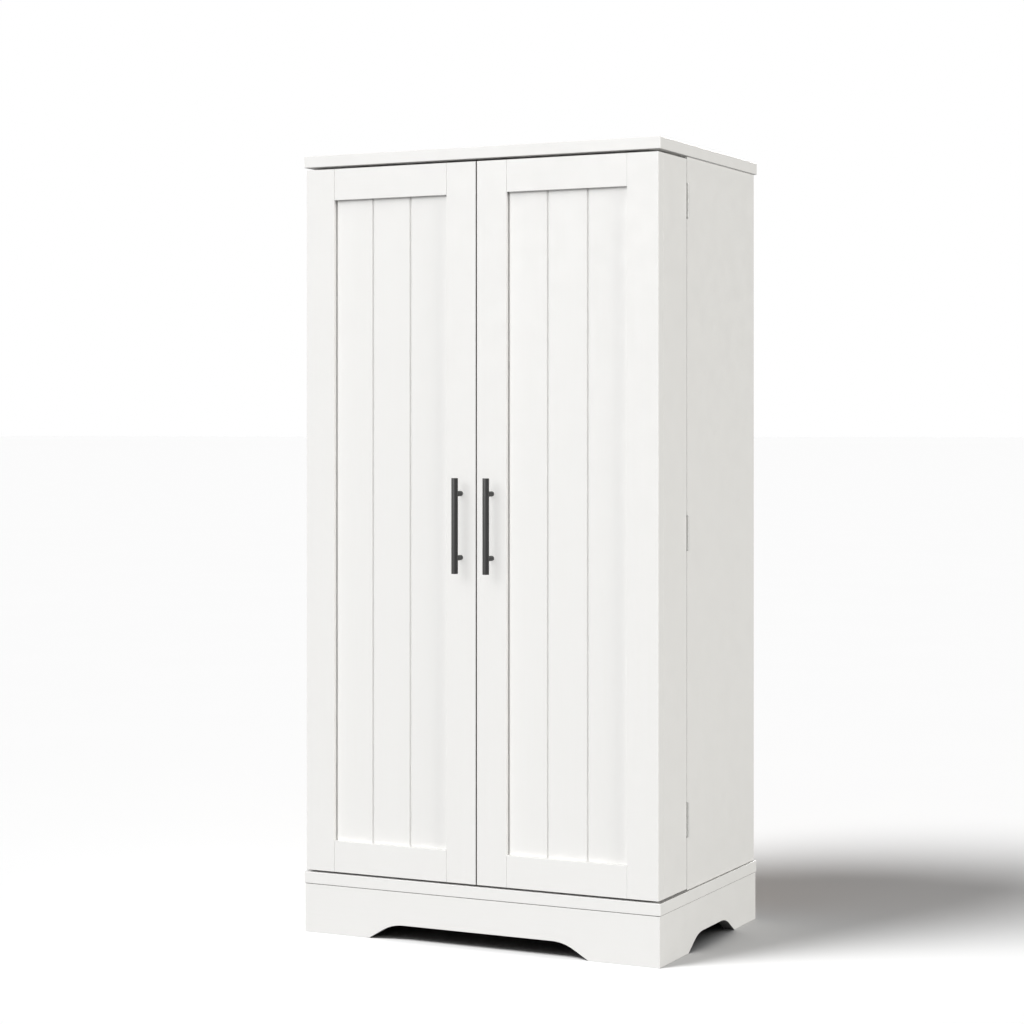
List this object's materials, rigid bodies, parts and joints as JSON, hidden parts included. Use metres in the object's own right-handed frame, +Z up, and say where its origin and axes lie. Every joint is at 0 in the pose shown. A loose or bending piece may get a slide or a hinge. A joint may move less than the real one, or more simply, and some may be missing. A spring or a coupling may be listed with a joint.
{
  "type": "pantry cabinet",
  "caption": "Tall free-standing pantry cabinet with deep hinged box doors that carry their own shelves, T-bar pulls and an arched base.",
  "frame": {"origin": "on the floor, under the middle of the whole cabinet with its handles", "axes": "+Z up, -Y towards the front with the doors, +X to the right as seen from the front"},
  "size_m": [0.596, 0.4235, 1.2],
  "materials": {
    "white_lacquer": "satin white lacquer",
    "matt_black": "matt black powder coat",
    "hinge_steel": "light grey lacquered steel",
    "zinc": "bright zinc plate",
    "hardboard": "white-faced hardboard",
    "pine": "planed softwood",
    "beech": "fluted hardwood dowel",
    "catch_plastic": "white moulded plastic"
  },
  "bodies": {
    "carcass": {"adjustable_shelves": "white_lacquer", "back_panel": "hardboard", "bottom_board": "white_lacquer", "bracket_screws": "zinc", "cam_bolts": "zinc", "cam_locks": "zinc", "carcass_hinge_leaves": "hinge_steel", "carcass_hinge_screws": "zinc", "corner_blocks": "pine", "front_skirt": "white_lacquer", "hinge_pins": "zinc", "left_side_panel": "white_lacquer", "left_skirt": "white_lacquer", "magnetic_catch": "catch_plastic", "middle_shelf": "white_lacquer", "rear_skirt": "white_lacquer", "right_side_panel": "white_lacquer", "right_skirt": "white_lacquer", "shelf_pins": "zinc", "top_panel": "white_lacquer", "wall_bracket": "zinc", "wood_dowels": "beech"},
    "left_door": {"left_door_bottom_board": "white_lacquer", "left_door_bottom_rail": "white_lacquer", "left_door_hinge_leaves": "hinge_steel", "left_door_hinge_screws": "zinc", "left_door_inner_board": "white_lacquer", "left_door_inner_stile": "white_lacquer", "left_door_outer_board": "white_lacquer", "left_door_outer_stile": "white_lacquer", "left_door_panel": "white_lacquer", "left_door_retaining_rails": "white_lacquer", "left_door_shelf_1": "white_lacquer", "left_door_shelf_2": "white_lacquer", "left_door_shelf_3": "white_lacquer", "left_door_top_board": "white_lacquer", "left_door_top_rail": "white_lacquer", "left_handle_bar": "matt_black", "left_handle_posts": "matt_black", "left_handle_screws": "zinc", "left_strike_plate": "zinc"},
    "right_door": {"right_door_bottom_board": "white_lacquer", "right_door_bottom_rail": "white_lacquer", "right_door_hinge_leaves": "hinge_steel", "right_door_hinge_screws": "zinc", "right_door_inner_board": "white_lacquer", "right_door_inner_stile": "white_lacquer", "right_door_outer_board": "white_lacquer", "right_door_outer_stile": "white_lacquer", "right_door_panel": "white_lacquer", "right_door_retaining_rails": "white_lacquer", "right_door_shelf_1": "white_lacquer", "right_door_shelf_2": "white_lacquer", "right_door_shelf_3": "white_lacquer", "right_door_top_board": "white_lacquer", "right_door_top_rail": "white_lacquer", "right_handle_bar": "matt_black", "right_handle_posts": "matt_black", "right_handle_screws": "zinc", "right_strike_plate": "zinc"}
  },
  "joints": [
    {"name": "left_door_hinge", "type": "hinge", "parent": "carcass", "child": "left_door", "pos_m": [-0.2955, -0.0767, 0.6], "axis": [0, 0, -1], "range_deg": [0, 180]},
    {"name": "right_door_hinge", "type": "hinge", "parent": "carcass", "child": "right_door", "pos_m": [0.2955, -0.0767, 0.6], "axis": [0, 0, 1], "range_deg": [0, 180]}
  ]
}
